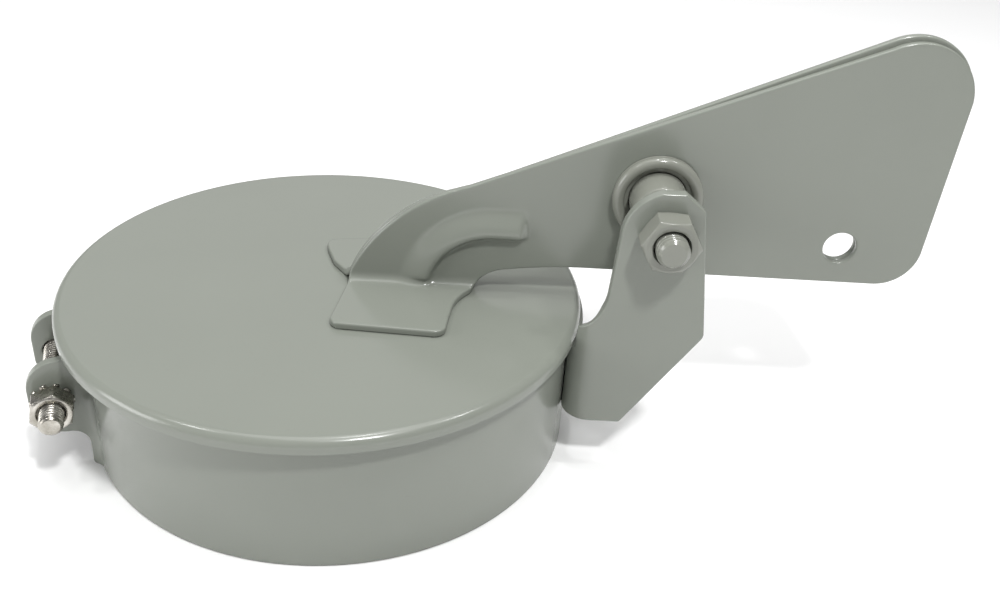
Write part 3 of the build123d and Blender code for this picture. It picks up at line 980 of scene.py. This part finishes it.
def tooth(angle):
    """One outer tooth, twisted out of the washer's plane towards its tip."""
    rows = []
    for step in range(TOOTH_STEPS + 1):
        share = step / TOOTH_STEPS
        reach = TOOTH_ROOT + TOOTH_LENGTH * share
        half_width = TOOTH_HALF_WIDTH - TOOTH_TAPER * share
        half_sheet = LOCK_SHEET / 2
        twist = TOOTH_TWIST * share
        row = []
        for w, h in ((-1, -1), (1, -1), (1, 1), (-1, 1)):
            w, h = w * half_width, h * half_sheet
            across = w * math.cos(twist) - h * math.sin(twist)
            up = w * math.sin(twist) + h * math.cos(twist) + LOCK_WASHER_HEIGHT / 2
            up = min(LOCK_WASHER_HEIGHT - 0.01, max(0.01, up))
            x = reach * math.cos(angle) - across * math.sin(angle)
            y = reach * math.sin(angle) + across * math.cos(angle)
            row.append((x, y, up))
        rows.append(row)
    return skin(rows)


def lock_washer():
    """Thin ring with twisted outer teeth."""
    low = (LOCK_WASHER_HEIGHT - LOCK_SHEET) / 2
    high = low + LOCK_SHEET
    corners = [
        (LOCK_BORE, low, 0.1), (LOCK_RADIUS, low, 0.1), (LOCK_RADIUS, high, 0.1), (LOCK_BORE, high, 0.1),
    ]
    teeth = [tooth(TURN * index / LOCK_TEETH) for index in range(LOCK_TEETH)]
    return joined(ring_mesh(corners, 80, 3), *teeth)


# ---------------------------------------------------------------- floor, light and camera

# Places and sizes in this section are in metres, and powers in watts.
FLOOR_TONE = (0.93, 0.93, 0.93, 1.0)
FLOOR_REACH, FLOOR_CELLS, FLOOR_DROP = 1.6, 24, 0.0002
# Name, place, width, height and power of each rectangular light
SOFT_BOXES = (
    ("top_box", (0.10, 0.05, 1.30), 1.3, 1.0, 9.8),
    ("back_box", (0.0, 1.10, 0.72), 1.5, 0.7, 1.6),
    ("front_box", (0.21, -0.41, 0.74), 0.07, 0.07, 4.0),
    ("fill_left", (-0.80, -0.30, 0.26), 0.4, 0.4, 3.2),
    ("lamp_left", (-0.34, -0.10, 0.62), 0.04, 0.04, 0.60),
    ("lamp_middle", (0.07, 0.02, 0.74), 0.04, 0.04, 0.60),
    ("lamp_right", (0.40, -0.05, 0.62), 0.04, 0.04, 0.60),
)
SKY_STRENGTH = 0.26
LIGHT_TARGET = (0.04, 0.0, 0.05)
CAMERA_AZIMUTH, CAMERA_ELEVATION, CAMERA_ROLL = (math.radians(a) for a in (-2.055, 30.96, 4.16))
CAMERA_PLACE = (0.036954, -0.248829, 0.188011)
CAMERA_LENS, CAMERA_SENSOR = 37.87, 36.0
CAMERA_CLIP = (0.01, 20.0)


def floor():
    """Pale sweep under the object."""
    reach, size = FLOOR_REACH, FLOOR_CELLS
    vertices, faces = [], []
    for i in range(size + 1):
        for j in range(size + 1):
            vertices.append((reach * (2 * i / size - 1), reach * (2 * j / size - 1), -FLOOR_DROP))
    for i in range(size):
        for j in range(size):
            a = i * (size + 1) + j
            faces.append((a, a + size + 1, a + size + 2, a + 1))
    mesh = bpy.data.meshes.new("floor")
    mesh.from_pydata(vertices, [], faces)
    sheet = bpy.data.objects.new("floor", mesh)
    bpy.context.scene.collection.objects.link(sheet)
    material = bpy.data.materials.new("pale_floor")
    material.use_nodes = True
    shader = material.node_tree.nodes["Principled BSDF"]
    shader.inputs["Base Color"].default_value = FLOOR_TONE
    shader.inputs["Roughness"].default_value = 0.9
    mesh.materials.append(material)


def soft_box(name, place, width, height, power):
    """Rectangular light of the given size, turned towards the object."""
    light = bpy.data.lights.new(name, "AREA")
    light.shape = "RECTANGLE"
    light.size = width
    light.size_y = height
    light.energy = power
    box = bpy.data.objects.new(name, light)
    bpy.context.scene.collection.objects.link(box)
    box.location = place
    box.rotation_euler = (Vector(LIGHT_TARGET) - Vector(place)).to_track_quat("-Z", "Y").to_euler()


def lights():
    """White surroundings, a large light above, and small ones for the streaks along the rims."""
    world = bpy.data.worlds.new("studio")
    bpy.context.scene.world = world
    world.use_nodes = True
    background = world.node_tree.nodes["Background"]
    background.inputs["Color"].default_value = (1.0, 1.0, 1.0, 1.0)
    background.inputs["Strength"].default_value = SKY_STRENGTH
    for facts in SOFT_BOXES:
        soft_box(*facts)


def camera():
    azimuth, elevation, roll = CAMERA_AZIMUTH, CAMERA_ELEVATION, CAMERA_ROLL
    level_share = math.cos(elevation)
    back = Vector((math.sin(azimuth) * level_share, -math.cos(azimuth) * level_share, math.sin(elevation)))
    level = Vector((math.cos(azimuth), math.sin(azimuth), 0))
    upright = back.cross(level)
    right = level * math.cos(roll) + upright * math.sin(roll)
    up = upright * math.cos(roll) - level * math.sin(roll)
    data = bpy.data.cameras.new("photo_camera")
    data.lens = CAMERA_LENS
    data.sensor_width = CAMERA_SENSOR
    data.clip_start, data.clip_end = CAMERA_CLIP
    made = bpy.data.objects.new("photo_camera", data)
    bpy.context.scene.collection.objects.link(made)
    made.matrix_world = Matrix((right, up, back)).transposed().to_4x4()
    made.location = CAMERA_PLACE
    bpy.context.scene.camera = made


def main():
    clamp_band()
    pivot_bracket()
    arm_plate("right", -1, RIGHT_PLATE)
    arm_plate("left", 1, LEFT_PLATE)
    lid_disc()
    pivot_bolt()
    pivot_nut()
    pivot_washers()
    pivot_bushing()
    hub_rings()
    clamp_fastener()
    floor()
    lights()
    camera()
    bpy.context.scene.view_settings.view_transform = "Standard"


main()
